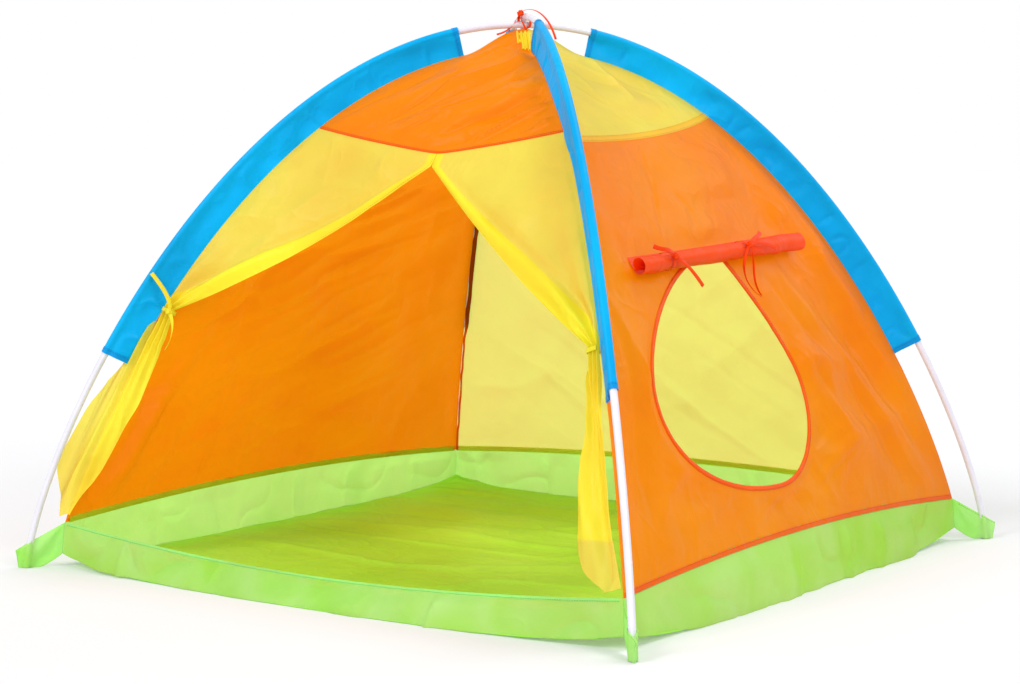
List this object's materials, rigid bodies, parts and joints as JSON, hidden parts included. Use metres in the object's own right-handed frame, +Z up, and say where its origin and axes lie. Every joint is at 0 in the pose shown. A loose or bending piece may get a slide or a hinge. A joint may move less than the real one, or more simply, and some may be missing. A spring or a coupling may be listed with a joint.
{
  "type": "kids play tent",
  "caption": "Square pop-up dome play tent of thin coloured cloth on crossed bending poles, with tied-back door flaps, a sewn-in floor and a side window with a rolled flap.",
  "frame": {"origin": "middle of the tent's footprint, on the ground under the floor sheet", "axes": "+X towards the wall with the window, +Y from the door towards the back wall, +Z up; the door faces -Y and the poles stand on the diagonals"},
  "size_m": [1.2144, 1.2144, 0.9328],
  "materials": {
    "white_plastic": "smooth white plastic tube",
    "orange_cloth": "thin translucent woven polyester, slightly shiny",
    "yellow_cloth": "thin translucent woven polyester, slightly shiny",
    "blue_cloth": "woven polyester, doubled into a tube",
    "green_cloth": "coated sheet with a soft shine",
    "red_tape": "folded orange-red polyester tape and rolled cloth"
  },
  "bodies": {
    "tent": {"lower_pole_section_1": "white_plastic", "lower_pole_section_2": "white_plastic", "lower_pole_section_3": "white_plastic", "lower_pole_section_4": "white_plastic", "lower_pole_section_5": "white_plastic", "lower_pole_spigot_1": "white_plastic", "lower_pole_spigot_2": "white_plastic", "lower_pole_spigot_3": "white_plastic", "lower_pole_spigot_4": "white_plastic", "upper_pole_section_1": "white_plastic", "upper_pole_section_2": "white_plastic", "upper_pole_section_3": "white_plastic", "upper_pole_section_4": "white_plastic", "upper_pole_section_5": "white_plastic", "upper_pole_spigot_1": "white_plastic", "upper_pole_spigot_2": "white_plastic", "upper_pole_spigot_3": "white_plastic", "upper_pole_spigot_4": "white_plastic", "back_right_sleeve": "blue_cloth", "back_right_pole_pocket": "green_cloth", "back_left_sleeve": "blue_cloth", "back_left_pole_pocket": "green_cloth", "front_left_sleeve": "blue_cloth", "front_left_pole_pocket": "green_cloth", "front_right_sleeve": "blue_cloth", "front_right_pole_pocket": "green_cloth", "front_top_panel": "orange_cloth", "right_top_panel": "yellow_cloth", "back_top_panel": "orange_cloth", "left_top_panel": "yellow_cloth", "right_wall": "orange_cloth", "back_wall": "yellow_cloth", "left_wall": "orange_cloth", "window_binding": "red_tape", "door_sill": "green_cloth", "right_base_strip": "green_cloth", "back_base_strip": "green_cloth", "left_base_strip": "green_cloth", "floor_sheet": "green_cloth", "left_door_swag": "yellow_cloth", "right_door_swag": "yellow_cloth", "left_door_tie": "yellow_cloth", "right_door_tie": "yellow_cloth", "peak_tie": "red_tape"},
    "left_tail": {"left_door_tail": "yellow_cloth"},
    "right_tail": {"right_door_tail": "yellow_cloth"},
    "roll": {"window_roll": "red_tape", "left_window_tie": "red_tape", "right_window_tie": "red_tape"}
  },
  "joints": [
    {"name": "left_tail_swing", "type": "hinge", "parent": "tent", "child": "left_tail", "pos_m": [-0.43106, -0.43297, 0.424], "axis": [-0.3022, -0.3022, -0.9041], "range_deg": [-50, 70]},
    {"name": "right_tail_swing", "type": "hinge", "parent": "tent", "child": "right_tail", "pos_m": [0.43913, -0.44105, 0.406], "axis": [-0.2974, 0.2974, 0.9073], "range_deg": [-50, 70]},
    {"name": "window_roll_lift", "type": "hinge", "parent": "tent", "child": "roll", "pos_m": [0.37243, 0, 0.54297], "axis": [0.0202, -0.9992, -0.0354], "range_deg": [0, 100]}
  ]
}
